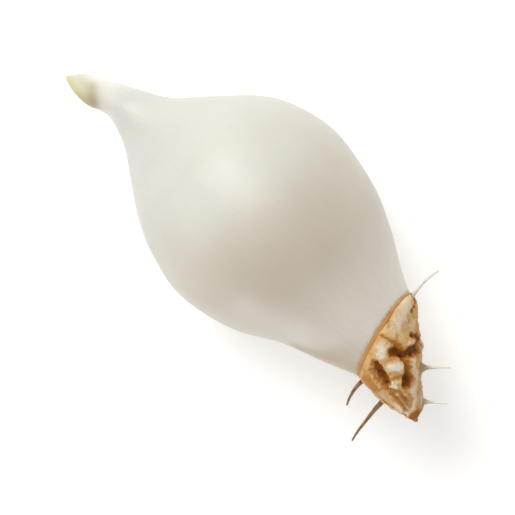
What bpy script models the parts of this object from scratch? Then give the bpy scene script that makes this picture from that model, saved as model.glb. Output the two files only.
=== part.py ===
"""A white pearl onion lying on a table: the bulb with its bent neck, and the dry root plate with its roots.

Metres, +Z up. +X runs along the bulb from the roots to the neck, and +Y to its left.
The origin is the middle of the small flat spot under the belly, which the onion rests on.
Outlines are in belly radii, because onions of any size share them.
"""

import math
import random
from collections import namedtuple

import bmesh
import bpy
from mathutils import Vector, noise

# Driving dimensions
BELLY_RADIUS = 0.0105
REST_DEPTH = 0.00045
WELD = 0.00001

BULB_SIDES = 48
BULB_RINGS_PER_SPAN = 4
PLATE_SIDES = 36
PLATE_RINGS_PER_SPAN = 4

# A section across the onion: where its left and right edges are in plan, its half height, how far its
# middle is above the belly's axis, and how far its top leans towards the neck for each unit of height.
Section = namedtuple("Section", "left right half_height rise lean")

# From the root end to the neck's dried mouth. The last three are its rim, its inner edge and its hollow.
BULB_SECTIONS = (
    Section((-1.600, 0.405), (-1.413, -0.431), 0.430, 0.130, 0.20),
    Section((-1.325, 0.522), (-1.221, -0.527), 0.535, 0.095, 0.15),
    Section((-0.909, 0.681), (-0.857, -0.743), 0.720, 0.035, 0.08),
    Section((-0.494, 0.899), (-0.494, -0.904), 0.912, -0.008, 0.03),
    Section((0.026, 1.003), (0.026, -1.000), 0.995, 0.000, 0.00),
    Section((0.442, 0.925), (0.442, -0.932), 0.920, 0.014, 0.00),
    Section((0.753, 0.792), (0.753, -0.769), 0.775, 0.014, 0.00),
    Section((1.013, 0.621), (1.065, -0.462), 0.540, 0.000, 0.00),
    Section((1.273, 0.436), (1.325, -0.195), 0.335, 0.000, 0.00),
    Section((1.455, 0.348), (1.584, -0.044), 0.225, 0.015, 0.00),
    Section((1.584, 0.322), (1.818, 0.078), 0.180, 0.050, 0.00),
    Section((1.662, 0.345), (2.000, 0.182), 0.158, 0.085, 0.00),
    Section((1.696, 0.369), (2.109, 0.335), 0.130, 0.115, 0.00),
    Section((1.755, 0.364), (2.050, 0.340), 0.092, 0.115, 0.00),
    Section((1.805, 0.305), (1.995, 0.285), 0.058, 0.115, 0.00),
)

# The plate narrows from its rim to a foot that stands off to the left.
PLATE_SECTIONS = (
    Section((-1.630, 0.425), (-1.445, -0.455), 0.455, 0.125, 0.20),
    Section((-1.690, 0.460), (-1.520, -0.440), 0.455, 0.130, 0.20),
    Section((-1.844, 0.436), (-1.714, -0.273), 0.370, 0.150, 0.18),
    Section((-2.052, 0.400), (-1.896, -0.122), 0.280, 0.140, 0.14),
    Section((-2.182, 0.369), (-2.104, 0.109), 0.150, 0.100, 0.08),
    Section((-2.234, 0.338), (-2.208, 0.234), 0.060, 0.080, 0.00),
)

# The plate's dry skin: folds of this pitch and height, and the pits between the folds.
CRUMPLE_PITCH = 3.6
CRUMPLE_HEIGHT = 0.050
PIT_DEPTH = 0.13
PIT_RADIUS = 0.11
PITS = ((-1.76, -0.04, 0.50), (-1.72, 0.24, 0.47), (-1.94, 0.15, 0.40), (-1.86, 0.10, -0.14))

# The roots: where each one starts, passes and ends, with its radius at the start.
Root = namedtuple("Root", "start middle end radius")
ROOTS_IN_VIEW = (
    Root((-1.74, 0.34, 0.08), (-1.675, 0.53, 0.00), (-1.708, 0.669, -0.08), 0.026),
    Root((-1.90, 0.30, 0.02), (-1.925, 0.66, -0.08), (-1.965, 0.860, -0.16), 0.026),
    Root((-1.84, 0.02, 0.16), (-1.98, -0.11, 0.18), (-2.135, -0.220, 0.20), 0.034),
    Root((-2.04, 0.22, 0.14), (-2.22, 0.09, 0.16), (-2.320, 0.030, 0.20), 0.026),
    Root((-1.50, -0.32, 0.24), (-1.425, -0.60, 0.30), (-1.435, -0.755, 0.37), 0.020),
    Root((-2.16, 0.30, 0.08), (-2.21, 0.33, 0.06), (-2.240, 0.350, 0.02), 0.045),
)
HIDDEN_ROOTS = 8
HIDDEN_ROOT_LENGTH = 0.30
HIDDEN_ROOT_RADIUS = 0.024
HIDDEN_ROOT_LEAN = -0.35
HIDDEN_ROOT_SEED = 4
ROOT_STEPS = 5
ROOT_TIP_SHARE = 0.45


def clear_scene():
    for old in list(bpy.data.objects):
        bpy.data.objects.remove(old)


def collection(name):
    made = bpy.data.collections.new(name)
    bpy.context.scene.collection.children.link(made)
    return made


def finish(name, colour, roughness):
    """A plain material of one colour."""
    made = bpy.data.materials.new(name)
    made.use_nodes = True
    shader = made.node_tree.nodes["Principled BSDF"]
    shader.inputs["Base Color"].default_value = (*colour, 1.0)
    shader.inputs["Roughness"].default_value = roughness
    shader.inputs["Metallic"].default_value = 0.0
    return made


def mixed(a, b, share):
    """The section a share of the way from section a to section b."""
    blend = [
        tuple(p + share * (q - p) for p, q in zip(u, v)) if isinstance(u, tuple) else u + share * (v - u)
        for u, v in zip(a, b)
    ]
    return Section(*blend)


def smooth_section(sections, along):
    """The section at a place from 0 to 1, on a Catmull-Rom curve through the sections."""
    place = along * (len(sections) - 1)
    first = min(int(place), len(sections) - 2)
    share = place - first
    before = sections[max(first - 1, 0)]
    start, end = sections[first], sections[first + 1]
    after = sections[min(first + 2, len(sections) - 1)]
    # Barry and Goldman's form: three rounds of plain mixing.
    a = mixed(before, start, share + 1.0)
    b = mixed(start, end, share)
    c = mixed(end, after, share - 1.0)
    return mixed(mixed(a, b, (share + 1.0) / 2.0), mixed(b, c, share / 2.0), share)


def on_section(section, around):
    """The point a share of the way round a section, in belly radii, from its right edge over its top."""
    left, right = Vector((*section.left, 0.0)), Vector((*section.right, 0.0))
    up = Vector((section.lean, 0.0, 1.0)) * section.half_height
    middle = (left + right) / 2.0 + Vector((0.0, 0.0, section.rise))
    angle = 2.0 * math.pi * around
    return middle + math.cos(angle) * (right - left) / 2.0 + math.sin(angle) * up


def wrapped_grid(rings, sides, place):
    """A closed body from a flat grid, whose vertices go where place(along, around) says."""
    shape = bmesh.new()
    bmesh.ops.create_grid(shape, x_segments=rings, y_segments=sides, size=0.5)
    for vertex in shape.verts:
        vertex.co = place(vertex.co.x + 0.5, vertex.co.y + 0.5) * BELLY_RADIUS
    bmesh.ops.remove_doubles(shape, verts=shape.verts, dist=WELD)
    fill_holes(shape)
    bmesh.ops.recalc_face_normals(shape, faces=shape.faces)
    return shape


def weld(mesh):
    """Merges the vertices of a mesh that are too close to tell apart, and turns its faces outwards."""
    shape = bmesh.new()
    shape.from_mesh(mesh)
    bmesh.ops.remove_doubles(shape, verts=shape.verts, dist=WELD)
    bmesh.ops.recalc_face_normals(shape, faces=shape.faces)
    shape.to_mesh(mesh)
    shape.free()


def fill_holes(shape):
    """Fills each open loop with one face, and returns the new faces."""
    rim = [edge for edge in shape.edges if edge.is_boundary]
    return bmesh.ops.holes_fill(shape, edges=rim, sides=0)["faces"]


def node(shape, name, group, material):
    """The finished object of a shape."""
    mesh = bpy.data.meshes.new(name)
    shape.to_mesh(mesh)
    shape.free()
    mesh.shade_smooth()
    mesh.set_sharp_from_angle(angle=math.radians(40))
    mesh.materials.append(material)
    made = bpy.data.objects.new(name, mesh)
    group.objects.link(made)
    return made


def rest_on_table(shape):
    """Cuts the flat spot off the belly's bottom, and returns the move that put it on the origin."""
    lowest = min(vertex.co.z for vertex in shape.verts) + REST_DEPTH
    bmesh.ops.bisect_plane(
        shape,
        geom=shape.verts[:] + shape.edges[:] + shape.faces[:],
        dist=WELD,
        plane_co=(0.0, 0.0, lowest),
        plane_no=(0.0, 0.0, -1.0),
        clear_outer=True,
    )
    flat = fill_holes(shape)[0]
    move = -flat.calc_center_bounds()
    bmesh.ops.translate(shape, verts=shape.verts, vec=move)
    for vertex in flat.verts:
        vertex.co.z = 0.0
    bmesh.ops.recalc_face_normals(shape, faces=shape.faces)
    return move


def on_bulb(along, around):
    """A point of the bulb's smooth skin."""
    return on_section(smooth_section(BULB_SECTIONS, along), around)


def make_bulb(group, material):
    """Makes the bulb with its neck, and returns the move that put its flat spot on the origin."""
    rings = BULB_RINGS_PER_SPAN * (len(BULB_SECTIONS) - 1)
    shape = wrapped_grid(rings, BULB_SIDES, on_bulb)
    move = rest_on_table(shape)
    node(shape, "bulb", group, material)
    return move


def crumple(point):
    """How far the dry skin of the plate stands out here, in belly radii, less than 0 in a pit."""
    fold = 1.0 - 2.0 * abs(noise.noise(point * CRUMPLE_PITCH))
    out = CRUMPLE_HEIGHT * (fold - 0.5)
    for pit in PITS:
        out -= PIT_DEPTH * math.exp(-((point - Vector(pit)).length / PIT_RADIUS) ** 2)
    return out


def on_plate(along, around):
    """A point of the plate's crumpled skin, which stays even at the rim that meets the bulb."""
    section = smooth_section(PLATE_SECTIONS, along)
    point = on_section(section, around)
    middle = on_section(section, 0.0).lerp(on_section(section, 0.5), 0.5)
    outwards = (point - middle).normalized()
    even = min(along * 5.0, (1.0 - along) * 5.0, 1.0)
    return point + outwards * crumple(point) * even


def tapered_root(name, points, radius, group):
    """A root through its points, thinner to its tip, as a closed mesh."""
    curve = bpy.data.curves.new(name, "CURVE")
    curve.dimensions = "3D"
    curve.bevel_depth = radius * BELLY_RADIUS
    curve.bevel_resolution = 1
    curve.use_fill_caps = True
    spline = curve.splines.new("POLY")
    spline.points.add(len(points) - 1)
    for index, point in enumerate(points):
        spline.points[index].co = (*(point * BELLY_RADIUS), 1.0)
        spline.points[index].radius = 1.0 + (ROOT_TIP_SHARE - 1.0) * index / (len(points) - 1)
    guide = bpy.data.objects.new(name + "_curve", curve)
    group.objects.link(guide)
    bpy.context.view_layer.update()
    mesh = bpy.data.meshes.new_from_object(guide.evaluated_get(bpy.context.evaluated_depsgraph_get()))
    bpy.data.objects.remove(guide)
    weld(mesh)
    made = bpy.data.objects.new(name, mesh)
    group.objects.link(made)
    return made


def bent_path(start, middle, end):
    """Points on a bow from start through middle to end."""
    start, middle, end = Vector(start), Vector(middle), Vector(end)
    handle = 2.0 * middle - (start + end) / 2.0
    steps = [index / ROOT_STEPS for index in range(ROOT_STEPS + 1)]
    return [start.lerp(handle, share).lerp(handle.lerp(end, share), share) for share in steps]


def hidden_root_paths():
    """Roots that hang from the plate's underside, which the view from above doesn't show."""
    draw = random.Random(HIDDEN_ROOT_SEED)
    for index in range(HIDDEN_ROOTS):
        section = smooth_section(PLATE_SECTIONS, draw.uniform(0.30, 0.65))
        surface = on_section(section, 0.60 + 0.30 * (index + draw.random()) / HIDDEN_ROOTS)
        middle = on_section(section, 0.0).lerp(on_section(section, 0.5), 0.5)
        length = HIDDEN_ROOT_LENGTH * draw.uniform(0.6, 1.1)
        fall = Vector((HIDDEN_ROOT_LEAN, draw.uniform(-0.3, 0.3), -1.0)) * length
        bow = Vector((draw.uniform(-0.04, 0.04), draw.uniform(-0.04, 0.04), 0.0))
        yield bent_path(surface.lerp(middle, 0.35), surface + fall * 0.5 + bow, surface + fall)


def make_root_plate(group, roots, material, move):
    """The crumpled plate, joined with its roots."""
    rings = PLATE_RINGS_PER_SPAN * (len(PLATE_SECTIONS) - 1)
    plate = node(wrapped_grid(rings, PLATE_SIDES, on_plate), "root_plate", group, material)
    paths = [(bent_path(*root[:3]), root.radius) for root in ROOTS_IN_VIEW]
    paths += [(path, HIDDEN_ROOT_RADIUS) for path in hidden_root_paths()]
    for index, (path, radius) in enumerate(paths):
        tapered_root(f"root_{index}", path, radius, roots)
    join = plate.modifiers.new("join_roots", "BOOLEAN")
    join.operation = "UNION"
    join.operand_type = "COLLECTION"
    join.collection = roots
    join.solver = "EXACT"
    bpy.context.view_layer.update()
    joined = bpy.data.meshes.new_from_object(plate.evaluated_get(bpy.context.evaluated_depsgraph_get()))
    plate.modifiers.clear()
    plate.data = joined
    weld(joined)
    for root in list(roots.objects):
        bpy.data.objects.remove(root)
    plate.location = move


def main():
    clear_scene()
    onion = collection("pearl_onion")
    roots = collection("roots_to_join")
    skin = finish("bulb_skin", (0.80, 0.77, 0.69), 0.45)
    dry = finish("dry_root", (0.42, 0.24, 0.10), 0.80)
    move = make_bulb(onion, skin)
    make_root_plate(onion, roots, dry, move)


main()
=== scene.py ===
"""The looks of a white pearl onion that lies on a pale table, seen from straight above."""

import math
import random
from collections import namedtuple

import bmesh
import bpy
import numpy as np
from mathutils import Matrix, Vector
from mathutils.noise import noise as noise_value


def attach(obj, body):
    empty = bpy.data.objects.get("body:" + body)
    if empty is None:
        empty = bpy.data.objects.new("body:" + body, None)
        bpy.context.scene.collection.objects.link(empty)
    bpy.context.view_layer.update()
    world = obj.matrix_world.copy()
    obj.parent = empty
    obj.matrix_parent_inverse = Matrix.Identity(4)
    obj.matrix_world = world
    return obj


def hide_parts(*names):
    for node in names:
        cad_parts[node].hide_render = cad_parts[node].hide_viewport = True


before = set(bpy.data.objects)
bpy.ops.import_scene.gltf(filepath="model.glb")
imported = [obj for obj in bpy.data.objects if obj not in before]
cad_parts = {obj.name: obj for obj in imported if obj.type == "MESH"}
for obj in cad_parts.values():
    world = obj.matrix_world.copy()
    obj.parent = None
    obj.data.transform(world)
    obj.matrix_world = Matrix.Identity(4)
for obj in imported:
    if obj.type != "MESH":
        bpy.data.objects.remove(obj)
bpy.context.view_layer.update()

# The part's own sizes: the belly's radius, and the move that put the flat spot on the origin, in belly radii.
RADIUS = 0.0105
MOVE = np.array((0.0525, -0.0015, 0.9520))

# Sections across the onion, in belly radii: the left edge's x and y, the right edge's x and y, the half
# height, the rise of the middle and the lean. They are the part's, but for two places: the edges of the
# neck's last three follow the outline seen from above, and the plate starts right at the bulb's end.
BULB_SECTIONS = (
    (-1.600, 0.405, -1.413, -0.431, 0.430, 0.130, 0.20),
    (-1.325, 0.522, -1.221, -0.527, 0.535, 0.095, 0.15),
    (-0.909, 0.681, -0.857, -0.743, 0.720, 0.035, 0.08),
    (-0.494, 0.899, -0.494, -0.904, 0.912, -0.008, 0.03),
    (0.026, 1.003, 0.026, -1.000, 0.995, 0.000, 0.00),
    (0.442, 0.925, 0.442, -0.932, 0.920, 0.014, 0.00),
    (0.753, 0.792, 0.753, -0.769, 0.775, 0.014, 0.00),
    (1.013, 0.621, 1.065, -0.462, 0.540, 0.000, 0.00),
    (1.273, 0.436, 1.325, -0.195, 0.335, 0.000, 0.00),
    (1.455, 0.348, 1.584, -0.044, 0.225, 0.015, 0.00),
    (1.592, 0.312, 1.818, 0.078, 0.180, 0.050, 0.00),
    (1.682, 0.324, 2.000, 0.182, 0.158, 0.085, 0.00),
    (1.750, 0.356, 2.112, 0.325, 0.130, 0.115, 0.00),
)
PLATE_SECTIONS = (
    (-1.606, 0.410, -1.419, -0.438, 0.437, 0.129, 0.20),
    (-1.690, 0.460, -1.520, -0.440, 0.455, 0.130, 0.20),
    (-1.844, 0.436, -1.714, -0.273, 0.370, 0.150, 0.18),
    (-2.052, 0.400, -1.896, -0.122, 0.280, 0.140, 0.14),
    (-2.182, 0.369, -2.104, 0.109, 0.150, 0.100, 0.08),
    (-2.234, 0.338, -2.208, 0.234, 0.060, 0.080, 0.00),
)

# How far the plate's right and left edges lie inside those sections, at each share of the way to its foot.
RIGHT_TRIM = (
    (0.00, 0.000), (0.20, 0.030), (0.32, 0.038), (0.45, 0.020),
    (0.62, 0.035), (0.72, 0.044), (0.84, 0.004), (1.00, 0.000),
)
LEFT_TRIM = (
    (0.00, 0.000), (0.10, 0.022), (0.20, 0.040), (0.40, 0.024),
    (0.60, 0.006), (0.80, -0.006), (1.00, -0.004),
)
RIGHT_INWARDS = np.array((0.679, 0.735))

# Mesh fineness
SKIN_RINGS_PER_SPAN = 21
SKIN_SIDES = 232
MOUTH_RINGS = 26
PLATE_RINGS = 150
PLATE_SIDES = 420
COLLAR_STEPS = 420

# The cut across the neck's tip: how far it bulges, in belly radii, and from which share of the skin's way.
MOUTH_BULGE = np.array((0.003, 0.034, 0.0))
MOUTH_BULGE_START = 0.88

# The dried mouth: how deep its layers lie at each share of the way in from the rim, in belly radii, which
# way in is, how far its rings close, and the waves round its layers (how many, how high, and their turn).
MOUTH_LAYERS = (
    (0.00, 0.000), (0.06, -0.012), (0.14, 0.035), (0.24, 0.012), (0.36, 0.060),
    (0.48, 0.025), (0.62, 0.070), (0.76, 0.035), (0.88, 0.060), (1.00, 0.050),
)
MOUTH_INWARDS = (-0.60, -0.75, -0.20)
MOUTH_CLOSING = 0.97
MOUTH_WAVES = ((3.0, 0.35, 0.6), (5.0, 0.25, 2.1))
MOUTH_LAYERS_START = 0.20

# How dry the rim of the mouth is, and how far from it the skin begins to dry and is dried through.
RIM_DRYNESS = 0.45
RIM_DRY_REACH = 0.095
MOUTH_DRY_REACH = 0.12

# The skin's grain runs from the roots to the neck: how much it is drawn out for once round the onion.
GRAIN_LENGTH = 12.0

# Painted shade across the top of the belly, as a darker, browner skin colour: its middle, its run and how far
# it reaches each way.
BELLY_SHADE_MIDDLE = np.array((-0.47, 0.14))
BELLY_SHADE_RUN = np.array((-0.100, -0.995))
BELLY_SHADE_REACH = (0.90, 0.31)

# Painted light, as a path in plan and a width: a painted highlight across the belly towards the neck, and
# along its left flank.
BELLY_PAINTED_HIGHLIGHT = ((0.46, 0.32), (0.42, -0.02), (0.20, -0.42))
BELLY_PAINTED_HIGHLIGHT_WIDTH = 0.30
FLANK_PAINTED_LIGHT = ((-0.455, 0.683), (-0.732, 0.584), (-0.953, 0.494))
FLANK_PAINTED_LIGHT_WIDTH = 0.13

# Olive brown skin near the neck's tip: its path in plan, and the strength and width of its two shades.
NECK_STAIN = ((1.872, 0.232), (1.825, 0.275), (1.785, 0.315))
NECK_STAIN_SHADES = ((0.36, 0.050), (0.20, 0.090))

# Browner skin on the left flank by the root plate: its path, its strength, its width, how much wider it gets
# and between which x, and how its edge wanders (how far, and at which pitch).
ROOT_SHADE = ((-1.050, 0.620, 0.190), (-1.200, 0.540, 0.260), (-1.340, 0.470, 0.300), (-1.500, 0.430, 0.260))
ROOT_SHADE_STRENGTH = 0.84
ROOT_SHADE_WIDTH = 0.09
ROOT_SHADE_WIDENING = 0.14
ROOT_SHADE_WIDENS = (-1.02, -1.40)
ROOT_SHADE_WANDER = ((0.05, 4.0), (0.02, 13.0))

# What the plate's upper side shows, in plan: a path, its half width, its rise, how dark and how pale it is.
PLATE_MARKS = (
    (((-1.655, 0.044), (-1.744, -0.010), (-1.776, -0.100), (-1.800, -0.175)), 0.042, -0.040, 1.00, 0.0),
    (((-1.819, -0.159), (-1.744, -0.196), (-1.701, -0.200), (-1.682, -0.182)), 0.025, -0.022, 0.90, 0.0),
    (((-1.616, 0.224), (-1.697, 0.246), (-1.796, 0.276)), 0.033, -0.036, 1.00, 0.0),
    (((-1.940, 0.170), (-1.905, 0.120)), 0.036, -0.034, 0.90, 0.0),
    (((-1.905, 0.120), (-1.870, 0.070), (-1.800, 0.020), (-1.735, 0.020)), 0.024, -0.022, 0.65, 0.0),
    (((-1.786, 0.280), (-1.807, 0.201), (-1.843, 0.141)), 0.014, 0.014, 0.40, 0.0),
    (((-1.856, 0.302), (-1.950, 0.262), (-2.040, 0.262)), 0.020, -0.022, 0.38, 0.0),
    (((-1.475, 0.014), (-1.560, -0.010), (-1.650, -0.020)), 0.018, -0.014, 0.45, 0.0),
    (((-1.452, -0.436), (-1.491, -0.395), (-1.522, -0.335)), 0.013, -0.014, 0.80, 0.0),
    (((-1.615, 0.300), (-1.772, 0.318), (-1.947, 0.320), (-2.085, 0.334)), 0.014, -0.020, 0.42, 0.0),
    (((-2.186, 0.345), (-2.198, 0.276)), 0.036, -0.006, 0.60, 0.0),
    (((-2.122, 0.372), (-2.106, 0.376)), 0.014, -0.008, 0.60, 0.0),
    # A fold between two pale ridges, darkened as painted shade.
    (((-2.016, 0.212), (-2.099, 0.280)), 0.018, -0.016, 0.32, 0.0),
    (((-1.640, 0.390), (-1.760, 0.380)), 0.036, 0.004, 0.36, 0.0),
    (((-1.660, 0.436), (-1.900, 0.418), (-2.120, 0.392)), 0.012, -0.004, 0.55, 0.0),
    (((-1.548, 0.086), (-1.598, 0.137)), 0.038, 0.010, 0.0, 0.90),
    (((-1.736, 0.151), (-1.785, 0.100)), 0.038, 0.016, 0.0, 1.00),
    (((-1.844, 0.232), (-1.889, 0.262)), 0.026, 0.012, 0.0, 0.95),
    (((-1.701, -0.100), (-1.719, -0.134)), 0.018, 0.010, 0.0, 0.60),
    (((-1.600, -0.250), (-1.660, -0.190)), 0.026, 0.006, 0.0, 0.30),
    (
        ((-1.826, -0.010), (-1.897, 0.040), (-1.972, 0.123), (-2.042, 0.200), (-2.115, 0.272)),
        0.026, 0.016, 0.0, 0.68,
    ),
    (((-1.780, 0.370), (-1.940, 0.356)), 0.030, 0.008, 0.0, 0.25),
    (((-2.010, 0.350), (-2.130, 0.340)), 0.034, 0.010, 0.0, 0.75),
    (((-1.422, -0.373), (-1.470, -0.250), (-1.520, -0.110)), 0.046, 0.004, 0.0, 0.65),
    (((-2.117, 0.156), (-2.150, 0.180)), 0.030, 0.014, 0.0, 0.60),
)

# How far a mark reaches for its half width, the raised lip of a pit (its height for the pit's depth, its
# place and its width for the pit's half width), and how the marks' edges wander (how far, at which pitch).
MARK_REACH = 1.20
PIT_LIP = 0.30
PIT_LIP_PLACE = 1.5
PIT_LIP_WIDTH = 0.5
MARK_WANDER = ((0.015, 12.0), (0.013, 29.0), (0.009, 63.0))

# Pits and ridges of the plate's underside, by a seeded rule: how many, between which shares of the plate's
# length they start, how many rings and sides further they end, their widths, and their rises and tones.
HIDDEN_MARKS = 54
HIDDEN_MARK_SEED = 11
HIDDEN_MARK_STARTS = (0.12, 0.92)
HIDDEN_MARK_RINGS = (4, 26)
HIDDEN_MARK_SIDES = (-20, 21)
HIDDEN_MARK_WIDTHS = (0.022, 0.050)
HIDDEN_PIT_DEPTHS = (0.02, 0.05)
HIDDEN_PIT_DARKNESS = (0.5, 1.0)
HIDDEN_RIDGE_RISES = (0.01, 0.03)
HIDDEN_RIDGE_PALENESS = (0.4, 0.9)

# The plate's relief: its least and greatest rise, between which shares of the plate's length it sets in and
# dies away, how much smoother pale skin is, and how far the plate takes the rim's colour.
RELIEF_RANGE = (-0.08, 0.03)
RELIEF_START = (0.02, 0.17)
RELIEF_END = (1.0, 0.94)
PALE_SMOOTHNESS = 0.6
RIM_TONE_REACH = 0.10

# The torn rim of old skin: its seed, the waves of its tears, its thickness, how far it reaches up the bulb
# and down the plate (at least, and by how much more), how many steps the lower tears are turned, at which
# shares of that reach its rings are, and how far each ring is lifted.
COLLAR_SEED = 5
COLLAR_WAVES = (2, 3, 5, 8, 13, 21, 34)
COLLAR_THICKNESS = 0.010
COLLAR_UP = (0.005, 0.006)
COLLAR_DOWN = (0.03, 0.07)
COLLAR_TURN = 97
COLLAR_UP_SHARES = (1.0, 0.5, 0.0)
COLLAR_DOWN_SHARES = (0.05, 0.25, 0.5, 0.75, 1.0)
COLLAR_LIFTS = (0.001, 0.005, 0.008, 0.008, 0.007, 0.005, 0.002, -0.002)

# Roots, in belly radii: start, middle and end, the radius, whether they are pale, and how much wider the
# base is.
Root = namedtuple("Root", "start middle end radius pale flare")
ROOTS = (
    Root((-1.650, 0.360, 0.090), (-1.658, 0.550, 0.020), (-1.708, 0.669, -0.060), 0.024, False, 0.0),
    Root((-1.900, 0.300, 0.020), (-1.925, 0.660, -0.080), (-1.965, 0.860, -0.160), 0.024, False, 0.3),
    Root((-1.915, -0.010, 0.165), (-2.009, -0.103, 0.180), (-2.130, -0.215, 0.200), 0.019, True, 2.4),
    Root((-2.120, 0.200, 0.120), (-2.225, 0.115, 0.160), (-2.325, 0.032, 0.200), 0.018, True, 1.8),
    Root((-1.460, -0.360, 0.140), (-1.424, -0.560, 0.210), (-1.448, -0.752, 0.300), 0.022, True, 0.0),
    Root((-2.150, 0.310, 0.080), (-2.200, 0.325, 0.060), (-2.236, 0.335, 0.030), 0.052, False, 0.0),
)
ROOT_TIP_SHARE = 0.35
ROOT_TAPER = 0.8
ROOT_POINTS = 12
ROOT_BASE_REACH = 0.24

# Roots of the underside, by the part's rule for its eight. The last two are left out, because they would show
# past the plate's edge from above.
HIDDEN_ROOTS = 6
HIDDEN_ROOT_SEED = 4
HIDDEN_ROOT_PLACES = (0.30, 0.65)
HIDDEN_ROOT_FIRST_SIDE = 0.60
HIDDEN_ROOT_STEP = 0.30 / 8
HIDDEN_ROOT_SUNK = 0.35
HIDDEN_ROOT_LENGTH = 0.30
HIDDEN_ROOT_LENGTH_SHARES = (0.6, 1.1)
HIDDEN_ROOT_RADIUS = 0.024
HIDDEN_ROOT_LEAN = -0.35
HIDDEN_ROOT_SWAY = 0.3
HIDDEN_ROOT_BOW = 0.04

# The skin's colours
SKIN = {
    "cream": (0.702, 0.652, 0.560),
    "light cream": (0.733, 0.682, 0.589),
    "vein": (0.56, 0.58, 0.47),
    "fine vein": (0.78, 0.77, 0.72),
    "root shade": (0.510, 0.395, 0.235),
    "edge by the plate": (0.52, 0.35, 0.17),
    "neck stain": (0.470, 0.370, 0.140),
    "dark in the mouth": (0.30, 0.20, 0.08),
    "pale in the mouth": (0.60, 0.50, 0.28),
}

# Colours that come in along the skin, from 0 at the root end to 1 at the mouth's rim: between which places,
# how much of the colour there is at each of the two, and the colour.
SKIN_ALONG = (
    (0.02, 0.25, 0.85, 0.0, (0.840, 0.785, 0.715)),
    (0.30, 0.55, 0.0, 1.0, (0.668, 0.660, 0.605)),
    (0.58, 0.88, 0.0, 1.0, (0.778, 0.785, 0.755)),
    # Partly painted light: the near-white band on the neck is pale skin that also lifts the shade the lamps
    # leave on the neck's side.
    (0.74, 0.86, 0.0, 1.0, (0.935, 0.928, 0.862)),
    (0.88, 0.95, 0.0, 1.0, (0.690, 0.672, 0.510)),
)

# Painted shade and painted light whose place is kept in the mesh: how much of each shows at most, and the
# colour.
SKIN_PAINTED_LIGHT_AND_SHADE = {
    "belly_tone": (0.80, (0.665, 0.573, 0.470)),
    "glow": (0.55, (0.800, 0.800, 0.755)),
    "flank_glow": (0.60, (0.855, 0.800, 0.725)),
}

# Colours of the skin as it dries: between which shares of dryness each comes in, and the colour.
SKIN_DRYING = ((0.02, 0.40, (0.640, 0.590, 0.330)), (0.35, 0.60, (0.58, 0.46, 0.22)))

# The colours of the root plate's dry skin
DRY = {
    "brown": (0.640, 0.350, 0.110),
    "golden": (0.830, 0.540, 0.235),
    "painted shade between folds": (0.520, 0.220, 0.050),
    "painted highlight on folds": (0.900, 0.680, 0.400),
    "pale": (0.980, 0.905, 0.770),
    "rim": (0.600, 0.305, 0.090),
    "fibre": (0.560, 0.280, 0.090),
    "grain": (0.930, 0.780, 0.540),
    "edge of a pit": (0.520, 0.200, 0.035),
    "pit": (0.130, 0.030, 0.003),
}

# The colours of the torn rim, the roots and the table
COLLAR = {"brown": (0.500, 0.230, 0.062), "orange": (0.630, 0.345, 0.130), "speck": (0.30, 0.13, 0.045)}
ROOT = {
    "dark brown": (0.190, 0.095, 0.048),
    "brown": (0.370, 0.225, 0.115),
    "brown tip": (0.300, 0.205, 0.115),
    "pale": (0.760, 0.745, 0.660),
    "white": (0.850, 0.850, 0.790),
    "tan base": (0.430, 0.310, 0.170),
}
TABLE = {"grey white": (0.820, 0.820, 0.817), "white": (0.830, 0.830, 0.827)}

# The view: the frame's middle in plan, in belly radii, its width in metres, how the onion is turned in it in
# degrees, and the camera's lens and sensor in millimetres.
FRAME_MIDDLE = (-0.221, 0.284)
FRAME_WIDTH = 0.0480
CAMERA_TURN = 224.34
CAMERA_LENS = 300.0
CAMERA_SENSOR = 36.0
CAMERA_RANGE = (0.01, 10.0)

# The table's half width, and how far it lies below the flat spot, in metres.
TABLE_REACH = 4
TABLE_DROP = 0.00001

# The room's light, and its strength at the horizon and overhead, with the heights between which it changes.
ROOM_COLOUR = (1.0, 0.995, 0.985, 1.0)
ROOM_STRENGTH = (1.00, 0.04)
ROOM_HORIZON = (0.02, 0.14)

# Soft lamps: the turn from +X and the height in degrees, the width in metres and the power in watts. The key
# stands over the neck's end, one lamp hangs overhead, and the others stand low and light the flanks.
LAMPS = {
    "key": (-6.0, 51.0, 0.85, 12.0),
    "top": (0.0, 85.0, 1.25, 6.5),
    "side": (-34.0, 22.0, 1.00, 5.5),
    "fill": (68.0, 25.0, 1.00, 3.5),
    "back": (167.0, 25.0, 1.00, 3.7),
    "root side": (224.0, 25.0, 1.00, 1.0),
}
LAMP_COLOUR = (1.0, 0.99, 0.96)
LAMP_DISTANCE = 1.50


# Shapes


def smooth(sections, along):
    """Sections at places from 0 to 1, on a Catmull-Rom curve through the given ones."""
    rows = np.array(sections)
    place = np.clip(np.asarray(along, float), 0.0, 1.0) * (len(rows) - 1)
    first = np.minimum(place.astype(int), len(rows) - 2)
    share = (place - first)[:, None]
    before, start = rows[np.maximum(first - 1, 0)], rows[first]
    end, after = rows[first + 1], rows[np.minimum(first + 2, len(rows) - 1)]
    square = 2 * before - 5 * start + 4 * end - after
    cube = 3 * start - before - 3 * end + after
    return 0.5 * (2 * start + (end - before) * share + square * share**2 + cube * share**3)


def rings_of(sections, around):
    """Points round each section, in belly radii, from its right edge over its top."""
    left, right = sections[:, None, 0:2], sections[:, None, 2:4]
    half, rise, lean = (sections[:, None, i] for i in (4, 5, 6))
    angle = 2.0 * math.pi * around[None, :]
    flat = (left + right) / 2.0 + np.cos(angle)[:, :, None] * (right - left) / 2.0
    up = np.sin(angle) * half
    return np.dstack((flat[:, :, 0] + up * lean, flat[:, :, 1], rise + up))


def plate_sections(along):
    """The plate's sections, with its edges trimmed to the outline seen from above."""
    sections = smooth(PLATE_SECTIONS, along)
    sections[:, 1] -= np.interp(along, *zip(*LEFT_TRIM))
    sections[:, 2:4] += np.interp(along, *zip(*RIGHT_TRIM))[:, None] * RIGHT_INWARDS
    return sections


def placed(points):
    """Points in belly radii, in the part's frame and metres."""
    return (points + MOVE) * RADIUS


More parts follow.
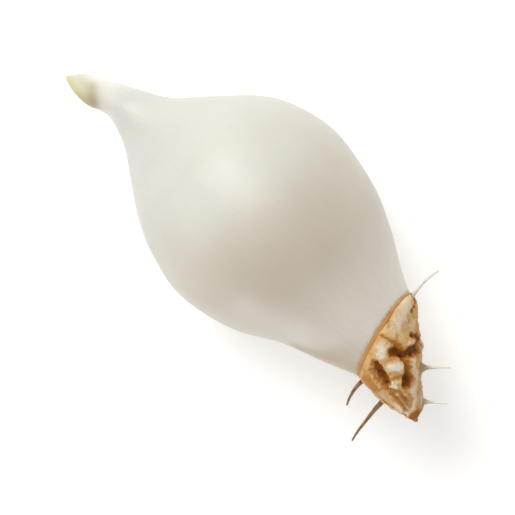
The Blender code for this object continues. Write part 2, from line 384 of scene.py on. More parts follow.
def ring_normals(rings):
    """Outward normals of a grid of rings."""
    along = np.gradient(rings, axis=0)
    around = np.roll(rings, -1, axis=1) - np.roll(rings, 1, axis=1)
    normals = np.cross(around, along)
    normals /= np.maximum(np.linalg.norm(normals, axis=2, keepdims=True), 1e-12)
    middles = rings.mean(axis=1, keepdims=True)
    if ((rings - middles) * normals).sum() < 0.0:
        normals = -normals
    return normals


def soft_floor(points, softness=0.011):
    """Keeps points, in belly radii, above the table, with a soft bend at the edge of the flat spot."""
    height = points[..., 2] + MOVE[2]
    points[..., 2] = 0.5 * (height + np.sqrt(height**2 + softness**2)) - MOVE[2]
    return points


def step(low, high, value):
    """0 below low, 1 above high and smooth between."""
    share = np.clip((value - low) / (high - low), 0.0, 1.0)
    return share * share * (3.0 - 2.0 * share)


def faded(distance, width, power=2.0):
    """1 at no distance, falling softly towards 0 past this width."""
    return np.exp(-((distance / width) ** power))


def near_path(points, path):
    """Each point's distance to a path."""
    best = np.full(points.shape[:-1], np.inf)
    for a, b in zip(np.array(path)[:-1], np.array(path)[1:]):
        run = b - a
        share = np.clip(((points - a) @ run) / (run @ run), 0.0, 1.0)
        best = np.minimum(best, np.linalg.norm(points - a - share[..., None] * run, axis=-1))
    return best


def uneven(points, pitch):
    """Soft noise at each point, from about -1 to 1."""
    flat = points.reshape(-1, 3) * pitch
    return np.array([noise_value(Vector(point)) for point in flat]).reshape(points.shape[:-1])


# Meshes


def shown(name, data):
    """An object of this data, in the scene."""
    made = bpy.data.objects.new(name, data)
    bpy.context.scene.collection.objects.link(made)
    return made


def keep_values(mesh, label, values):
    """Keeps one value, or one vector, for each vertex of a mesh."""
    kind, key = ("FLOAT_VECTOR", "vector") if values.ndim == 2 else ("FLOAT", "value")
    mesh.attributes.new(label, kind, "POINT").data.foreach_set(key, values.ravel())


def ring_faces(rings, sides, closed=False):
    """Quads between rings of vertices; closed joins the last ring to the first."""
    faces = []
    for row in range(rings if closed else rings - 1):
        here, there = row * sides, (row + 1) % rings * sides
        for side in range(sides):
            far = (side + 1) % sides
            faces.append((here + side, here + far, there + far, there + side))
    return faces


def piece_from(name, points, faces):
    """A shown mesh object with smooth shading and outward faces."""
    mesh = bpy.data.meshes.new(name)
    mesh.from_pydata(points.tolist(), [], faces)
    shape = bmesh.new()
    shape.from_mesh(mesh)
    bmesh.ops.recalc_face_normals(shape, faces=shape.faces)
    shape.to_mesh(mesh)
    shape.free()
    mesh.shade_smooth()
    return shown(name, mesh)


def wrapped(name, rings, fields):
    """A closed piece from rings, each end closed by a fan to its middle, which keeps each field's values."""
    count, sides = rings.shape[:2]
    points = np.vstack((rings.reshape(-1, 3), rings[0].mean(axis=0), rings[-1].mean(axis=0)))
    faces = ring_faces(count, sides)
    first, last = count * sides, count * sides + 1
    for side in range(sides):
        far = (side + 1) % sides
        faces.append((first, far, side))
        faces.append((last, (count - 1) * sides + side, (count - 1) * sides + far))
    piece = piece_from(name, points, faces)
    for label, values in fields.items():
        cells = np.asarray(values, float).reshape(count, sides, -1)
        flat = np.vstack((cells.reshape(count * sides, -1), cells[0].mean(axis=0), cells[-1].mean(axis=0)))
        keep_values(piece.data, label, flat if np.ndim(values) == 3 else flat[:, 0])
    return piece


# Node helpers, for materials and geometry nodes alike


def add(tree, kind, inputs=None, **settings):
    """A node of this kind. An input that is a socket is linked, and any other is set."""
    made = tree.nodes.new(kind)
    for key, value in settings.items():
        setattr(made, key, value)
    for key, value in (inputs or {}).items():
        if isinstance(value, bpy.types.NodeSocket):
            tree.links.new(value, made.inputs[key])
        else:
            made.inputs[key].default_value = value
    return made


def maths(tree, operation, *values, clamp=False):
    """One step of arithmetic."""
    made = add(tree, "ShaderNodeMath", dict(enumerate(values)), operation=operation, use_clamp=clamp)
    return made.outputs[0]


def band(tree, value, low, high, to_low=0.0, to_high=1.0):
    """A smooth change from to_low to to_high as value goes from low to high."""
    inputs = {0: value, 1: low, 2: high, 3: to_low, 4: to_high}
    return add(tree, "ShaderNodeMapRange", inputs, interpolation_type="SMOOTHSTEP").outputs[0]


def blend(tree, share, first, second):
    """Two colours mixed."""
    made = add(tree, "ShaderNodeMix", data_type="RGBA")
    for key, value in ((0, share), (6, first), (7, second)):
        if isinstance(value, bpy.types.NodeSocket):
            tree.links.new(value, made.inputs[key])
        else:
            made.inputs[key].default_value = (*value, 1.0) if isinstance(value, tuple) else value
    return made.outputs[2]


def layer(tree, colour, share, amount, tint):
    """A colour with a tint laid over it, by this amount of a share."""
    return blend(tree, maths(tree, "MULTIPLY", share, amount), colour, tint)


def stretched(tree, vector, scale):
    """A vector scaled on each axis."""
    return add(tree, "ShaderNodeVectorMath", {0: vector, 1: scale}, operation="MULTIPLY").outputs[0]


def noise(tree, vector, scale, detail=2.0, roughness=0.5, distortion=0.0):
    """Noise from about 0 to 1."""
    inputs = {"Vector": vector, "Scale": scale, "Detail": detail, "Roughness": roughness}
    return add(tree, "ShaderNodeTexNoise", {**inputs, "Distortion": distortion}).outputs["Fac"]


# Materials


def material(name, **constants):
    """A material with a Principled shader, and its tree and shader."""
    made = bpy.data.materials.new(name)
    made.use_nodes = True
    shader = made.node_tree.nodes["Principled BSDF"]
    for key, value in constants.items():
        shader.inputs[key.replace("_", " ")].default_value = value
    return made, made.node_tree, shader


def object_place(tree):
    """Where a point is on its object, in metres."""
    return add(tree, "ShaderNodeTexCoord").outputs["Object"]


def field(tree, name, vector=False):
    """A material's reading of a value kept in the mesh."""
    made = add(tree, "ShaderNodeAttribute", attribute_name=name)
    return made.outputs["Vector" if vector else "Fac"]


def finished(tree, shader, colour, rough, height, depth, strength):
    """Gives a shader its colour, its roughness and a bump, which is so many metres deep."""
    bump = add(tree, "ShaderNodeBump", {"Height": height, "Distance": depth, "Strength": strength})
    tree.links.new(colour, shader.inputs["Base Color"])
    tree.links.new(rough, shader.inputs["Roughness"])
    tree.links.new(bump.outputs[0], shader.inputs["Normal"])


def skin_material():
    """Pearl white skin: satin, slightly see-through, with faint veins, dried at the mouth, with painted shade
    and painted light laid into its colour.
    """
    made, tree, shader = material(
        "pearl_skin",
        IOR=1.50,
        Subsurface_Weight=0.20,
        Subsurface_Scale=0.0020,
        Subsurface_Radius=(1.0, 0.62, 0.38),
        Coat_Weight=0.55,
        Coat_Roughness=0.45,
    )
    place = object_place(tree)
    grain = field(tree, "grain", vector=True)
    along, dry = field(tree, "along"), field(tree, "dry")

    mottle = band(tree, noise(tree, place, 160.0, 3.0), 0.35, 0.65)
    colour = blend(tree, mottle, SKIN["cream"], SKIN["light cream"])
    for low, high, at_low, at_high, tint in SKIN_ALONG:
        colour = blend(tree, band(tree, along, low, high, at_low, at_high), colour, tint)

    veins = noise(tree, stretched(tree, grain, (17.0, 17.0, 2.2)), 1.0, 3.0, 0.55)
    fine = noise(tree, stretched(tree, grain, (44.0, 44.0, 4.0)), 1.0, 2.0, 0.5)
    colour = layer(tree, colour, band(tree, veins, 0.50, 0.62), 0.10, SKIN["vein"])
    colour = layer(tree, colour, band(tree, fine, 0.52, 0.68), 0.06, SKIN["fine vein"])
    # Painted shade across the belly, a painted highlight towards the neck and painted light on the left
    # flank.
    for name, (amount, tint) in SKIN_PAINTED_LIGHT_AND_SHADE.items():
        colour = layer(tree, colour, field(tree, name), amount, tint)
    colour = blend(tree, field(tree, "root_shade"), colour, SKIN["root shade"])

    wander = noise(tree, stretched(tree, grain, (7.0, 7.0, 10.0)), 1.0, 3.0, 0.6)
    edge = maths(tree, "ADD", along, maths(tree, "MULTIPLY", wander, -0.035))
    colour = layer(tree, colour, band(tree, edge, -0.014, 0.008, 1.0, 0.0), 0.75, SKIN["edge by the plate"])

    colour = blend(tree, field(tree, "neck_stain"), colour, SKIN["neck stain"])
    for low, high, tint in SKIN_DRYING:
        colour = blend(tree, band(tree, dry, low, high), colour, tint)
    flecks = band(tree, noise(tree, place, 1500.0, 3.0), 0.35, 0.7)
    inside = blend(tree, flecks, SKIN["dark in the mouth"], SKIN["pale in the mouth"])
    colour = blend(tree, band(tree, dry, 0.60, 1.00), colour, inside)

    rough = band(tree, noise(tree, place, 420.0, 2.0), 0.3, 0.7, 0.43, 0.51)
    rough = maths(tree, "ADD", rough, maths(tree, "MULTIPLY", dry, 0.25))
    height = maths(tree, "ADD", veins, maths(tree, "MULTIPLY", fine, 0.35))
    finished(tree, shader, colour, rough, height, 0.00007, 0.40)
    return made


def dry_material():
    """Dry golden brown skin: pale where it stands out, orange at the edges of its pits and dark in them, with
    painted shade between its folds and a painted highlight on their crests.
    """
    made, tree, shader = material(
        "dry_root_skin",
        IOR=1.40,
        Specular_IOR_Level=0.15,
        Subsurface_Weight=0.10,
        Subsurface_Scale=0.0006,
        Subsurface_Radius=(1.0, 0.5, 0.25),
    )
    place = object_place(tree)
    pit, pale, fold = field(tree, "pit"), field(tree, "pale"), field(tree, "fold")
    patchy = band(tree, noise(tree, place, 900.0, 3.0), 0.35, 0.62, 0.72, 1.0)
    wide = noise(tree, place, 430.0, 3.0, 0.6, 0.6)
    fine = noise(tree, place, 2600.0, 4.0, 0.65, 0.3)
    fibres = noise(tree, stretched(tree, place, (900.0, 5200.0, 5200.0)), 1.0, 2.0, 0.6)

    colour = blend(tree, band(tree, wide, 0.35, 0.65), DRY["brown"], DRY["golden"])
    # Painted shade where the crumples lie low between their folds, and a painted highlight on the folds'
    # crests.
    colour = blend(tree, band(tree, fold, 0.05, 0.60, 0.45, 0.0), colour, DRY["painted shade between folds"])
    colour = blend(tree, band(tree, fold, 0.80, 0.98, 0.0, 0.30), colour, DRY["painted highlight on folds"])
    colour = layer(tree, colour, maths(tree, "MULTIPLY", pale, patchy), 0.95, DRY["pale"])
    colour = layer(tree, colour, field(tree, "rim"), 0.75, DRY["rim"])
    colour = blend(tree, band(tree, fibres, 0.46, 0.72, 0.0, 0.28), colour, DRY["fibre"])
    colour = blend(tree, band(tree, fine, 0.55, 0.80, 0.0, 0.25), colour, DRY["grain"])
    colour = blend(tree, band(tree, pit, 0.05, 0.50), colour, DRY["edge of a pit"])
    dark = maths(tree, "MULTIPLY", band(tree, pit, 0.40, 0.95), band(tree, fine, 0.25, 0.65, 1.0, 0.70))
    colour = blend(tree, dark, colour, DRY["pit"])

    rough = band(tree, fine, 0.3, 0.7, 0.55, 0.75)
    height = maths(tree, "ADD", fibres, maths(tree, "MULTIPLY", fine, 1.2))
    finished(tree, shader, colour, rough, height, 0.00005, 0.7)
    return made


def collar_material():
    """The torn rim of old skin: orange brown and thin."""
    made, tree, shader = material("old_skin_rim", IOR=1.42, Subsurface_Weight=0.15, Subsurface_Scale=0.0006)
    place = object_place(tree)
    wide = noise(tree, place, 330.0, 3.0, 0.6)
    fine = noise(tree, place, 2200.0, 3.0, 0.6)
    colour = blend(tree, band(tree, wide, 0.35, 0.65), COLLAR["brown"], COLLAR["orange"])
    colour = layer(tree, colour, band(tree, fine, 0.5, 0.75), 0.35, COLLAR["speck"])
    rough = band(tree, fine, 0.3, 0.7, 0.42, 0.62)
    finished(tree, shader, colour, rough, fine, 0.00005, 0.7)
    return made


def root_material():
    """Dry roots: brown, or pale and slightly see-through, some of them tan at the base."""
    made, tree, shader = material("dried_roots", IOR=1.40, Subsurface_Weight=0.20, Subsurface_Scale=0.0005)
    place = object_place(tree)
    along, pale = field(tree, "root_along"), field(tree, "root_pale")
    streak = noise(tree, place, 1500.0, 3.0, 0.6)
    streaked = band(tree, streak, 0.35, 0.65)
    brown = blend(tree, streaked, ROOT["dark brown"], ROOT["brown"])
    brown = layer(tree, brown, along, 0.30, ROOT["brown tip"])
    light = blend(tree, streaked, ROOT["pale"], ROOT["white"])
    base = maths(tree, "MULTIPLY", band(tree, along, 0.15, 0.60, 1.0, 0.0), field(tree, "root_tan"))
    light = blend(tree, base, light, ROOT["tan base"])
    rough = band(tree, streak, 0.3, 0.7, 0.45, 0.65)
    finished(tree, shader, blend(tree, pale, brown, light), rough, streak, 0.00004, 0.7)
    return made


def table_material():
    """A plain pale table, which glows a little, and more away from the onion."""
    made, tree, shader = material("pale_table", Roughness=0.75, IOR=1.30)
    place = object_place(tree)
    mottle = band(tree, noise(tree, place, 14.0, 2.0), 0.3, 0.7)
    tone = blend(tree, mottle, TABLE["grey white"], TABLE["white"])
    tree.links.new(tone, shader.inputs["Base Color"])
    shader.inputs["Emission Color"].default_value = (1.0, 1.0, 1.0, 1.0)
    away = add(tree, "ShaderNodeVectorMath", {0: place}, operation="LENGTH").outputs["Value"]
    tree.links.new(band(tree, away, 0.08, 0.90, 0.40, 1.00), shader.inputs["Emission Strength"])
    return made


# Geometry nodes


def geometry_tree(name, **inputs):
    """A geometry node tree with named inputs, its group input and its group output."""
    tree = bpy.data.node_groups.new(name, "GeometryNodeTree")
    tree.interface.new_socket("Geometry", in_out="INPUT", socket_type="NodeSocketGeometry")
    for key, value in inputs.items():
        kind = {int: "NodeSocketInt", float: "NodeSocketFloat"}.get(type(value), "NodeSocketMaterial")
        socket = tree.interface.new_socket(key.replace("_", " "), in_out="INPUT", socket_type=kind)
        socket.default_value = value
    tree.interface.new_socket("Geometry", in_out="OUTPUT", socket_type="NodeSocketGeometry")
    return tree, tree.nodes.new("NodeGroupInput"), tree.nodes.new("NodeGroupOutput")


def close_tree(tree, source, target, geometry):
    """Ends a tree: real geometry, smooth and in its material."""
    real = add(tree, "GeometryNodeRealizeInstances", {"Geometry": geometry})
    soft = add(tree, "GeometryNodeSetShadeSmooth", {"Geometry": real.outputs[0], "Shade Smooth": True})
    inputs = {"Geometry": soft.outputs[0], "Material": source.outputs["Material"]}
    dressed = add(tree, "GeometryNodeSetMaterial", inputs)
    tree.links.new(dressed.outputs[0], target.inputs[0])


def baked(piece, tree, **values):
    """A plain mesh piece: what the tree makes of this one with these inputs. The piece itself goes."""
    name = piece.name
    modifier = piece.modifiers.new(tree.name, "NODES")
    modifier.node_group = tree
    for socket in tree.interface.items_tree:
        key = socket.name.replace(" ", "_")
        if socket.in_out == "INPUT" and key in values:
            modifier[socket.identifier] = values[key]
    bpy.context.view_layer.update()
    graph = bpy.context.evaluated_depsgraph_get()
    result = piece.evaluated_get(graph)
    mesh = bpy.data.meshes.new_from_object(result, preserve_all_data_layers=True, depsgraph=graph)
    piece.modifiers.clear()
    bpy.data.objects.remove(piece)
    mesh.name = name
    return shown(name, mesh)


def named_field(tree, name, kind="FLOAT"):
    """Geometry nodes' reading of a value kept in the mesh."""
    return add(tree, "GeometryNodeInputNamedAttribute", {"Name": name}, data_type=kind).outputs["Attribute"]


def stored(tree, geometry, name, value):
    """Geometry that keeps a value for each of its points."""
    inputs = {"Geometry": geometry, "Name": name, "Value": value}
    return add(tree, "GeometryNodeStoreNamedAttribute", inputs, data_type="FLOAT").outputs[0]


def moved_out(tree, geometry, distance):
    """Geometry moved along its normals."""
    normal = tree.nodes.new("GeometryNodeInputNormal").outputs[0]
    offset = add(tree, "ShaderNodeVectorMath", {0: normal, "Scale": distance}, operation="SCALE").outputs[0]
    return add(tree, "GeometryNodeSetPosition", {"Geometry": geometry, "Offset": offset}).outputs[0]


def centred(tree, value, amount, middle=0.5):
    """How far a value is above its middle, times an amount."""
    return maths(tree, "MULTIPLY", maths(tree, "SUBTRACT", value, middle), amount)


def ridge(tree, value, steepness):
    """1 where a noise is at its middle, falling to 0 on both sides."""
    away = maths(tree, "ABSOLUTE", maths(tree, "SUBTRACT", value, 0.5))
    return maths(tree, "SUBTRACT", 1.0, maths(tree, "MULTIPLY", away, steepness), clamp=True)


def swell_tree():
    """Low swellings and faint veins that run from the roots to the neck."""
    tree, source, target = geometry_tree(
        "skin_relief",
        Swell_Height=0.00022,
        Swell_Pitch=90.0,
        Vein_Height=0.00003,
        Vein_Pitch=5.5,
        Material=None,
    )
    sizes = source.outputs
    free = named_field(tree, "free")
    grain = named_field(tree, "grain", "FLOAT_VECTOR")
    place = tree.nodes.new("GeometryNodeInputPosition").outputs[0]
    swell = centred(tree, noise(tree, place, sizes["Swell Pitch"], 1.0), sizes["Swell Height"])
    veins = noise(tree, stretched(tree, grain, (1.0, 1.0, 0.16)), sizes["Vein Pitch"], 2.0, 0.6)
    veins = centred(tree, veins, sizes["Vein Height"])
    out = maths(tree, "MULTIPLY", maths(tree, "ADD", swell, veins), free)
    close_tree(tree, source, target, moved_out(tree, sizes["Geometry"], out))
    return tree


def crumple_tree():
    """Folds, crinkles, long fibres and a fine grain. It keeps how far up a fold each point is."""
    tree, source, target = geometry_tree(
        "dry_crumple",
        Fold_Pitch=560.0,
        Fold_Height=0.00017,
        Crinkle_Pitch=1700.0,
        Crinkle_Height=0.00009,
        Fibre_Pitch=3300.0,
        Fibre_Height=0.00007,
        Grain_Pitch=2600.0,
        Grain_Height=0.00004,
        Material=None,
    )
    sizes = source.outputs
    loose = named_field(tree, "loose")
    place = tree.nodes.new("GeometryNodeInputPosition").outputs[0]
    fold = noise(tree, stretched(tree, place, (0.7, 1.0, 1.0)), sizes["Fold Pitch"], 2.0, 0.5, 0.4)
    fold = ridge(tree, fold, 6.0)
    crinkle = noise(tree, stretched(tree, place, (0.45, 1.0, 1.0)), sizes["Crinkle Pitch"], 2.0, 0.55, 0.8)
    crinkle = ridge(tree, crinkle, 5.0)
    fibre = noise(tree, stretched(tree, place, (0.16, 1.0, 1.0)), sizes["Fibre Pitch"], 1.0)
    fine = noise(tree, place, sizes["Grain Pitch"], 3.0, 0.6)
    out = centred(tree, fold, sizes["Fold Height"], 0.8)
    for value, name in ((crinkle, "Crinkle Height"), (fibre, "Fibre Height"), (fine, "Grain Height")):
        out = maths(tree, "ADD", out, centred(tree, value, sizes[name]))
    kept = stored(tree, sizes["Geometry"], "fold", fold)
    close_tree(tree, source, target, moved_out(tree, kept, maths(tree, "MULTIPLY", out, loose)))
    return tree


def root_tree():
    """Thin wrinkled roots along curves, as thick as each curve's points say."""
    tree, source, target = geometry_tree(
        "dried_root_tubes",
        Steps=34,
        Sides=11,
        Wave_Height=0.00022,
        Wave_Pitch=620.0,
        Wrinkle_Height=0.00006,
        Wrinkle_Pitch=3600.0,
        Material=None,
    )
    sizes = source.outputs
    fine = add(tree, "GeometryNodeResampleCurve", {"Curve": sizes["Geometry"], "Count": sizes["Steps"]})
    along = tree.nodes.new("GeometryNodeSplineParameter").outputs["Factor"]
    kept = stored(tree, fine.outputs[0], "root_along", along)
    place = tree.nodes.new("GeometryNodeInputPosition").outputs[0]
    inputs = {"Vector": place, "Scale": sizes["Wave Pitch"], "Detail": 1.0}
    shake = add(tree, "ShaderNodeTexNoise", inputs).outputs["Color"]
    shake = add(tree, "ShaderNodeVectorMath", {0: shake, 1: (0.5, 0.5, 0.5)}, operation="SUBTRACT").outputs[0]
    reach = maths(tree, "MULTIPLY", along, sizes["Wave Height"])
    shake = add(tree, "ShaderNodeVectorMath", {0: shake, "Scale": reach}, operation="SCALE").outputs[0]
    waved = add(tree, "GeometryNodeSetPosition", {"Geometry": kept, "Offset": shake})
    circle = add(tree, "GeometryNodeCurvePrimitiveCircle", {"Resolution": sizes["Sides"], "Radius": 1.0})
    thick = tree.nodes.new("GeometryNodeInputRadius").outputs[0]
    inputs = {"Curve": waved.outputs[0], "Profile Curve": circle.outputs[0], "Scale": thick}
    tube = add(tree, "GeometryNodeCurveToMesh", {**inputs, "Fill Caps": True})
    wrinkle = centred(tree, noise(tree, place, sizes["Wrinkle Pitch"], 2.0), sizes["Wrinkle Height"])
    close_tree(tree, source, target, moved_out(tree, tube.outputs[0], wrinkle))
    return tree


# Pieces


def mouth_rings(rim, around):
    """Rings from the rim of the mouth inwards, over its dried layers."""
    middle = rim.mean(axis=0)
    inwards = np.array(MOUTH_INWARDS) / np.linalg.norm(MOUTH_INWARDS)
    shares = np.linspace(0.0, 1.0, MOUTH_RINGS + 1)[1:]
    depths = np.interp(shares, *zip(*MOUTH_LAYERS))
    angle = 2.0 * math.pi * around
    waves = sum((size * np.sin(count * angle + turn) for count, size, turn in MOUTH_WAVES), 1.0)
    deep = depths[:, None] * waves[None] * step(0.0, MOUTH_LAYERS_START, shares)[:, None]
    closing = middle + (rim - middle)[None] * (1.0 - MOUTH_CLOSING * shares)[:, None, None]
    return closing + inwards * deep[:, :, None]


def skin_fields(rings, rim, along, around):
    """What the skin's relief and its material read at each point of its rings."""
    run = np.concatenate((along, np.ones(MOUTH_RINGS)))[:, None] * np.ones(SKIN_SIDES)
    outside = np.arange(len(rings))[:, None] < len(along)
    plan, upwards = rings[:, :, :2], ring_normals(rings)[:, :, 2]
    on_top = step(-0.1, 0.3, upwards) * outside

    angle = 2.0 * math.pi * around
    grain = np.dstack(np.broadcast_arrays(np.cos(angle), np.sin(angle), GRAIN_LENGTH * run))
    free = step(0.03, 0.20, rings[:, :, 2] + MOVE[2]) * outside * step(0.0, 0.03, run)

    to_rim = np.linalg.norm(rings - rim[None], axis=2)
    drying = RIM_DRYNESS * step(RIM_DRY_REACH, 0.0, to_rim)
    dried = RIM_DRYNESS + (1.0 - RIM_DRYNESS) * step(0.0, MOUTH_DRY_REACH, to_rim)

    # Painted shade across the belly, on the faces that look up.
    belly = plan - BELLY_SHADE_MIDDLE
    along_shade = belly @ BELLY_SHADE_RUN / BELLY_SHADE_REACH[0]
    across_shade = belly @ np.array((-BELLY_SHADE_RUN[1], BELLY_SHADE_RUN[0])) / BELLY_SHADE_REACH[1]
    belly_tone = np.exp(-(along_shade**2) - across_shade**2) * step(-0.7, 0.0, upwards) * outside

    to_stain = near_path(plan, NECK_STAIN)
    to_shade = near_path(rings, ROOT_SHADE)
    for size, pitch in ROOT_SHADE_WANDER:
        to_shade = to_shade + size * uneven(rings, pitch)
    shade_width = ROOT_SHADE_WIDTH + ROOT_SHADE_WIDENING * step(*ROOT_SHADE_WIDENS, rings[:, :, 0])
    return {
        "along": run,
        "grain": grain,
        "dry": np.where(outside, drying, dried),
        "free": free,
        "belly_tone": belly_tone,
        # A painted highlight on the belly, and painted light on the left flank, on the faces that look up.
        "glow": faded(near_path(plan, BELLY_PAINTED_HIGHLIGHT), BELLY_PAINTED_HIGHLIGHT_WIDTH) * on_top,
        "flank_glow": faded(near_path(plan, FLANK_PAINTED_LIGHT), FLANK_PAINTED_LIGHT_WIDTH) * on_top,
        "neck_stain": sum(size * faded(to_stain, width) for size, width in NECK_STAIN_SHADES) * on_top,
        "root_shade": ROOT_SHADE_STRENGTH * faded(np.maximum(to_shade, 0.0), shade_width) * outside,
    }


def bulb_skin(dress):
    """The whole white skin from the root end over the neck's tip and into its dried mouth."""
    spans = len(BULB_SECTIONS) - 1
    along = np.linspace(0.0, 1.0, spans * SKIN_RINGS_PER_SPAN + 1)
    around = np.arange(SKIN_SIDES) / SKIN_SIDES
    outer = rings_of(smooth(BULB_SECTIONS, along), around)
    bulge = step(MOUTH_BULGE_START, 1.0, along)[:, None] * np.sin(2.0 * math.pi * around)[None] ** 2
    outer = outer + bulge[:, :, None] * MOUTH_BULGE
    rim = outer[-1]
    rings = soft_floor(np.concatenate((outer, mouth_rings(rim, around))))
    piece = wrapped("bulb_skin", placed(rings), skin_fields(rings, rim, along, around))
    piece = baked(piece, swell_tree(), Material=dress)
    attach(piece, "root")
    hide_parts("bulb")


def hidden_marks(rings):
    """Pits and ridges of the plate's underside: a path, its half width, its rise, how dark and how pale."""
    draw = random.Random(HIDDEN_MARK_SEED)
    count, sides = rings.shape[:2]
    first, last = (int(share * count) for share in HIDDEN_MARK_STARTS)
    for _ in range(HIDDEN_MARKS):
        row, side = draw.randrange(first, last), draw.randrange(sides)
        far_row = min(count - 1, row + draw.randrange(*HIDDEN_MARK_RINGS))
        far_side = (side + draw.randrange(*HIDDEN_MARK_SIDES)) % sides
        path = (rings[row, side], rings[far_row, far_side])
        width = draw.uniform(*HIDDEN_MARK_WIDTHS)
        if draw.random() < 0.5:
            yield path, width, -draw.uniform(*HIDDEN_PIT_DEPTHS), draw.uniform(*HIDDEN_PIT_DARKNESS), 0.0
        else:
            yield path, width, draw.uniform(*HIDDEN_RIDGE_RISES), 0.0, draw.uniform(*HIDDEN_RIDGE_PALENESS)


def plate_relief(rings, normals):
    """What the plate's skin shows: how far it stands out, and how dark and how pale it is."""
    rise, pit, pale = (np.zeros(rings.shape[:2]) for _ in range(3))
    top = step(-0.10, 0.30, normals[:, :, 2])
    wander = sum(size * uneven(rings, pitch) for size, pitch in MARK_WANDER)
    for path, width, height, dark, light in PLATE_MARKS:
        away = np.maximum(near_path(rings[:, :, :2], path) + wander, 0.0)
        share = faded(away, MARK_REACH * width, 3.0) * top
        lip = faded(away - PIT_LIP_PLACE * width, PIT_LIP_WIDTH * width) * top
        rise += height * share + PIT_LIP * max(-height, 0.0) * lip
        pit = np.maximum(pit, dark * share)
        pale = np.maximum(pale, light * share)
    for path, width, height, dark, light in hidden_marks(rings):
        away = np.maximum(near_path(rings, path) + wander, 0.0)
        share = faded(away, width, 2.4) * (1.0 - top)
        rise += height * share
        pit = np.maximum(pit, dark * share)
        pale = np.maximum(pale, light * share)
    return np.clip(rise, *RELIEF_RANGE), pit, pale * (1.0 - pit)


def plate_skin(dress):
    """The dry base of the stem, crumpled, pitted and drawn out to its foot."""
    along = np.linspace(0.0, 1.0, PLATE_RINGS + 1)
    around = np.arange(PLATE_SIDES) / PLATE_SIDES
    rings = rings_of(plate_sections(along), around)
    normals = ring_normals(rings)
    rise, pit, pale = plate_relief(rings, normals)
    even = (step(*RELIEF_START, along) * step(*RELIEF_END, along))[:, None]
    rings = rings + normals * (rise * even)[:, :, None]
    fields = {
        "pit": pit,
        "pale": pale,
        "loose": even * (1.0 - PALE_SMOOTHNESS * pale),
        "rim": np.broadcast_to(step(RIM_TONE_REACH, 0.0, along)[:, None], pit.shape),
    }
    piece = wrapped("root_plate_skin", placed(rings), fields)
    piece = baked(piece, crumple_tree(), Material=dress)
    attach(piece, "root")
    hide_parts("root_plate")


def torn_edge(around):
    """How far the rim's torn edge reaches, from 0 to 1, all the way round."""
    draw = random.Random(COLLAR_SEED)
    waves = [(n, draw.uniform(0.0, 6.28), draw.uniform(0.4, 1.0) / n**0.5) for n in COLLAR_WAVES]
    torn = sum(size * np.sin(2.0 * math.pi * n * around + turn) for n, turn, size in waves)
    return (torn - torn.min()) / (torn.max() - torn.min())


def collar(dress):
    """The thin torn rim of old skin round the end of the bulb, where the plate begins."""
    around = np.arange(COLLAR_STEPS) / COLLAR_STEPS
    torn = torn_edge(around)
    up_the_bulb = COLLAR_UP[0] + COLLAR_UP[1] * torn
    down_the_plate = COLLAR_DOWN[0] + COLLAR_DOWN[1] * (1.0 - np.roll(torn, COLLAR_TURN))
    cells = np.arange(COLLAR_STEPS)

    def ring_on(sections):
        return rings_of(sections, around)[cells, cells]

    path = [ring_on(smooth(BULB_SECTIONS, share * up_the_bulb)) for share in COLLAR_UP_SHARES]
    path += [ring_on(plate_sections(share * down_the_plate)) for share in COLLAR_DOWN_SHARES]
    middle = rings_of(smooth(BULB_SECTIONS, np.zeros(1)), around)[0].mean(axis=0)
    outer, inner = [], []
    for points, lift in zip(path, COLLAR_LIFTS):
        out = points - middle
        out[:, 0] = 0.0
        out /= np.linalg.norm(out, axis=1, keepdims=True)
        outer.append(points + out * lift)
        inner.append(points + out * (lift - COLLAR_THICKNESS))
    loop = np.array(outer + inner[::-1])
    faces = ring_faces(len(loop), COLLAR_STEPS, closed=True)
    piece = piece_from("old_skin_rim", placed(loop).reshape(-1, 3), faces)
    piece.data.materials.append(dress)
    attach(piece, "root")


def hidden_roots():
    """Roots of the underside, which the view from above doesn't show. Each third one is pale."""
    draw = random.Random(HIDDEN_ROOT_SEED)
    for index in range(HIDDEN_ROOTS):
        section = smooth(PLATE_SECTIONS, [draw.uniform(*HIDDEN_ROOT_PLACES)])
        side = HIDDEN_ROOT_FIRST_SIDE + HIDDEN_ROOT_STEP * (index + draw.random())
        surface, right, left = rings_of(section, np.array((side, 0.0, 0.5)))[0]
        start = (1.0 - HIDDEN_ROOT_SUNK) * surface + HIDDEN_ROOT_SUNK * (right + left) / 2.0
        length = HIDDEN_ROOT_LENGTH * draw.uniform(*HIDDEN_ROOT_LENGTH_SHARES)
        sway = draw.uniform(-HIDDEN_ROOT_SWAY, HIDDEN_ROOT_SWAY)
        fall = np.array((HIDDEN_ROOT_LEAN, sway, -1.0)) * length
        bow = [draw.uniform(-HIDDEN_ROOT_BOW, HIDDEN_ROOT_BOW) for _ in range(2)]
        middle = surface + fall * 0.5 + np.array((*bow, 0.0))
        yield Root(start, middle, surface + fall, HIDDEN_ROOT_RADIUS, index % 3 == 2, 0.0)


def add_root(curve, root):
    """Adds a root's bow to a curve, thinner to its tip and wider at its base."""
    start, middle, end = (np.array(point) for point in (root.start, root.middle, root.end))
    handle = 2.0 * middle - (start + end) / 2.0
    spline = curve.splines.new("POLY")
    spline.points.add(ROOT_POINTS - 1)
    for index, share in enumerate(np.linspace(0.0, 1.0, ROOT_POINTS)):
        point = start * (1 - share) ** 2 + 2 * handle * share * (1 - share) + end * share**2
        spline.points[index].co = (*placed(point), 1.0)
        thickness = 1.0 + (ROOT_TIP_SHARE - 1.0) * share**ROOT_TAPER
        thickness += root.flare * math.exp(-((share / ROOT_BASE_REACH) ** 2))
        spline.points[index].radius = root.radius * RADIUS * thickness


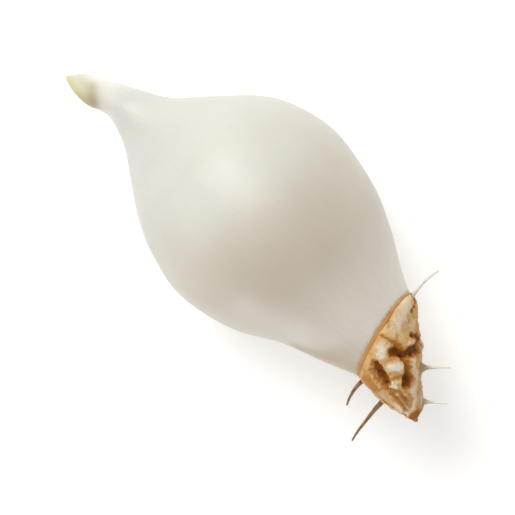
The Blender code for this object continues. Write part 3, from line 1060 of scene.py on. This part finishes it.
def roots(dress):
    """The dried roots, as one piece for each kind: brown, pale, and pale with a wide tan base."""
    everyone = (*ROOTS, *hidden_roots())
    brown = [root for root in everyone if not root.pale]
    plain = [root for root in everyone if root.pale and not root.flare]
    flared = [root for root in everyone if root.pale and root.flare]
    groups = {
        "brown_roots": (brown, 0.0, 0.0),
        "pale_roots": (plain, 1.0, 0.25),
        "wide_based_roots": (flared, 1.0, 0.95),
    }
    for name, (members, pale, tan) in groups.items():
        curve = bpy.data.curves.new(name, "CURVE")
        curve.dimensions = "3D"
        for root in members:
            add_root(curve, root)
        piece = baked(shown(name, curve), root_tree(), Material=dress)
        for label, value in (("root_pale", pale), ("root_tan", tan)):
            keep_values(piece.data, label, np.full(len(piece.data.vertices), value))
        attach(piece, "root")


# The table, the light and the camera


def lay_table():
    """A plain pale table under the onion."""
    mesh = bpy.data.meshes.new("table")
    corners = [(x * TABLE_REACH, y * TABLE_REACH, 0) for x, y in ((-1, -1), (1, -1), (1, 1), (-1, 1))]
    mesh.from_pydata(corners, [], [(0, 1, 2, 3)])
    mesh.materials.append(table_material())
    table = shown("table", mesh)
    table.location.z = -TABLE_DROP


def light_room():
    """A pale room that is bright at the horizon, and soft lamps."""
    world = bpy.data.worlds.new("pale_room")
    world.use_nodes = True
    tree = world.node_tree
    sky = tree.nodes["Background"]
    sky.inputs["Color"].default_value = ROOM_COLOUR
    direction = add(tree, "ShaderNodeTexCoord").outputs["Generated"]
    upwards = add(tree, "ShaderNodeSeparateXYZ", {0: direction}).outputs[2]
    tree.links.new(band(tree, upwards, *ROOM_HORIZON, *ROOM_STRENGTH), sky.inputs["Strength"])
    bpy.context.scene.world = world

    for name, (turn, height, size, power) in LAMPS.items():
        turn, height = math.radians(turn), math.radians(height)
        flat = math.cos(height)
        towards = Vector((math.cos(turn) * flat, math.sin(turn) * flat, math.sin(height)))
        data = bpy.data.lights.new(name, "AREA")
        data.shape = "DISK"
        data.size = size
        data.energy = power
        data.color = LAMP_COLOUR
        lamp = shown(name, data)
        lamp.location = towards * LAMP_DISTANCE
        lamp.rotation_euler = (-towards).to_track_quat("-Z", "Y").to_euler()
        lamp.visible_camera = False


def set_camera():
    """A long lens straight above the onion."""
    lens = bpy.data.cameras.new("camera")
    lens.lens = CAMERA_LENS
    lens.sensor_width = CAMERA_SENSOR
    lens.clip_start, lens.clip_end = CAMERA_RANGE
    middle = placed(np.array((*FRAME_MIDDLE, 0.0)))
    away = FRAME_WIDTH * CAMERA_LENS / CAMERA_SENSOR
    camera = shown("camera", lens)
    camera.location = (middle[0], middle[1], middle[2] + away)
    camera.rotation_euler = (0.0, 0.0, math.radians(CAMERA_TURN))
    bpy.context.scene.camera = camera
    bpy.context.scene.view_settings.view_transform = "Standard"


bulb_skin(skin_material())
plate_skin(dry_material())
collar(collar_material())
roots(root_material())
lay_table()
light_room()
set_camera()
